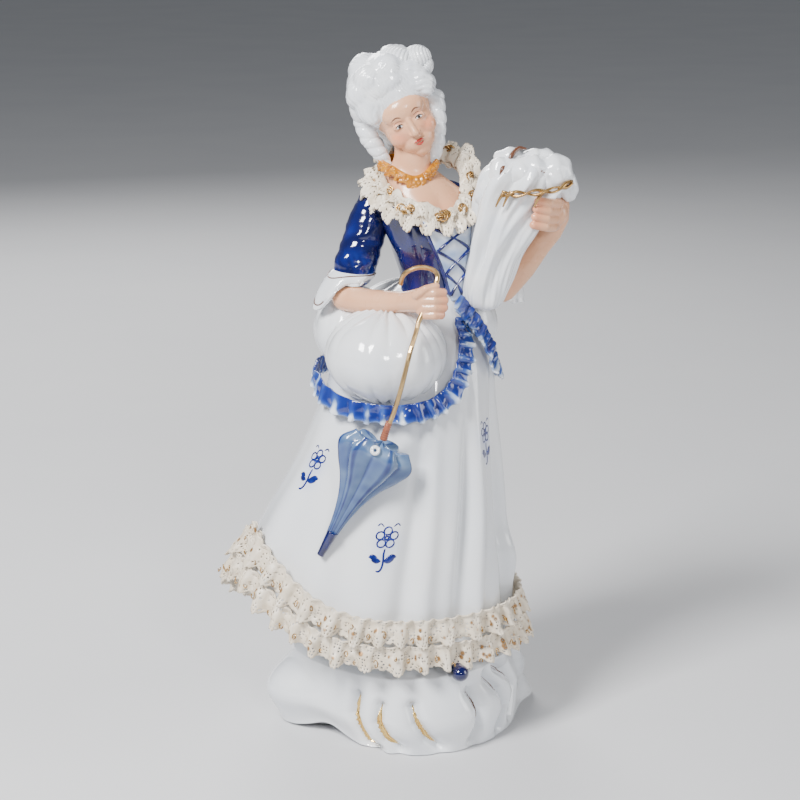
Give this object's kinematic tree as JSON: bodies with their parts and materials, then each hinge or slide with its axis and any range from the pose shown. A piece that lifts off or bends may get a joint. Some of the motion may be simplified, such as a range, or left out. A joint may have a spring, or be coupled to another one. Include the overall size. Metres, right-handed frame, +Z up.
{
  "type": "porcelain figurine",
  "caption": "Porcelain figurine of a lady in a blue and white gown with lace flounces, holding a wrapped bouquet and a parasol that swings on its wire handle.",
  "frame": {"origin": "on the table under the middle of the rock base, at the centre of its flat foot", "axes": "+Z up from the base to the hair, -Y towards the viewer in front of the lady, +X towards her left hand and the bouquet"},
  "size_m": [0.1222, 0.093, 0.2436],
  "materials": {
    "white_porcelain": "clear gloss glaze over white porcelain",
    "cobalt_glaze": "deep cobalt gloss glaze, streaked lighter where it is thin",
    "pale_blue_glaze": "cobalt wash under gloss glaze, darker in the folds",
    "skin_porcelain": "soft satin flesh tint",
    "orange_lustre": "amber lustre",
    "fired_lace": "lace dipped in slip and fired, matt to satin",
    "gilding": "worn brown-gold gilding",
    "brass_wire": "drawn wire, dulled",
    "copper_lustre": "copper-red lustre"
  },
  "bodies": {
    "figure": {"base": "white_porcelain", "skirt": "white_porcelain", "shoe": "cobalt_glaze", "lower_flounce": "fired_lace", "upper_flounce": "fired_lace", "flounce_curls": "gilding", "apron_puff": "white_porcelain", "right_pannier": "white_porcelain", "left_pannier": "white_porcelain", "bustle": "white_porcelain", "apron_ruffle": "pale_blue_glaze", "peplum_ruffle": "cobalt_glaze", "back_ruffle": "pale_blue_glaze", "bodice": "cobalt_glaze", "stomacher": "pale_blue_glaze", "lacing": "cobalt_glaze", "bust": "skin_porcelain", "head": "skin_porcelain", "wig": "white_porcelain", "right_curls": "white_porcelain", "left_ringlet": "white_porcelain", "nape_ringlets": "white_porcelain", "hair_bow": "white_porcelain", "choker": "orange_lustre", "lace_collar": "fired_lace", "collar_curls": "gilding", "right_sleeve": "cobalt_glaze", "right_cuff": "white_porcelain", "right_forearm": "skin_porcelain", "left_sleeve": "cobalt_glaze", "left_cuff": "white_porcelain", "left_forearm": "skin_porcelain", "bouquet_wrap": "white_porcelain", "bouquet_blooms": "white_porcelain", "bouquet_band": "gilding"},
    "parasol": {"parasol_wire": "brass_wire", "parasol_collar": "copper_lustre", "parasol_canopy": "pale_blue_glaze", "parasol_ferrule": "cobalt_glaze"}
  },
  "joints": [
    {"name": "parasol_swing", "type": "hinge", "parent": "figure", "child": "parasol", "pos_m": [0.0093, -0.0315, 0.16], "axis": [0.3982, 0.4285, 0.8111], "range_deg": [-4, 14]}
  ]
}
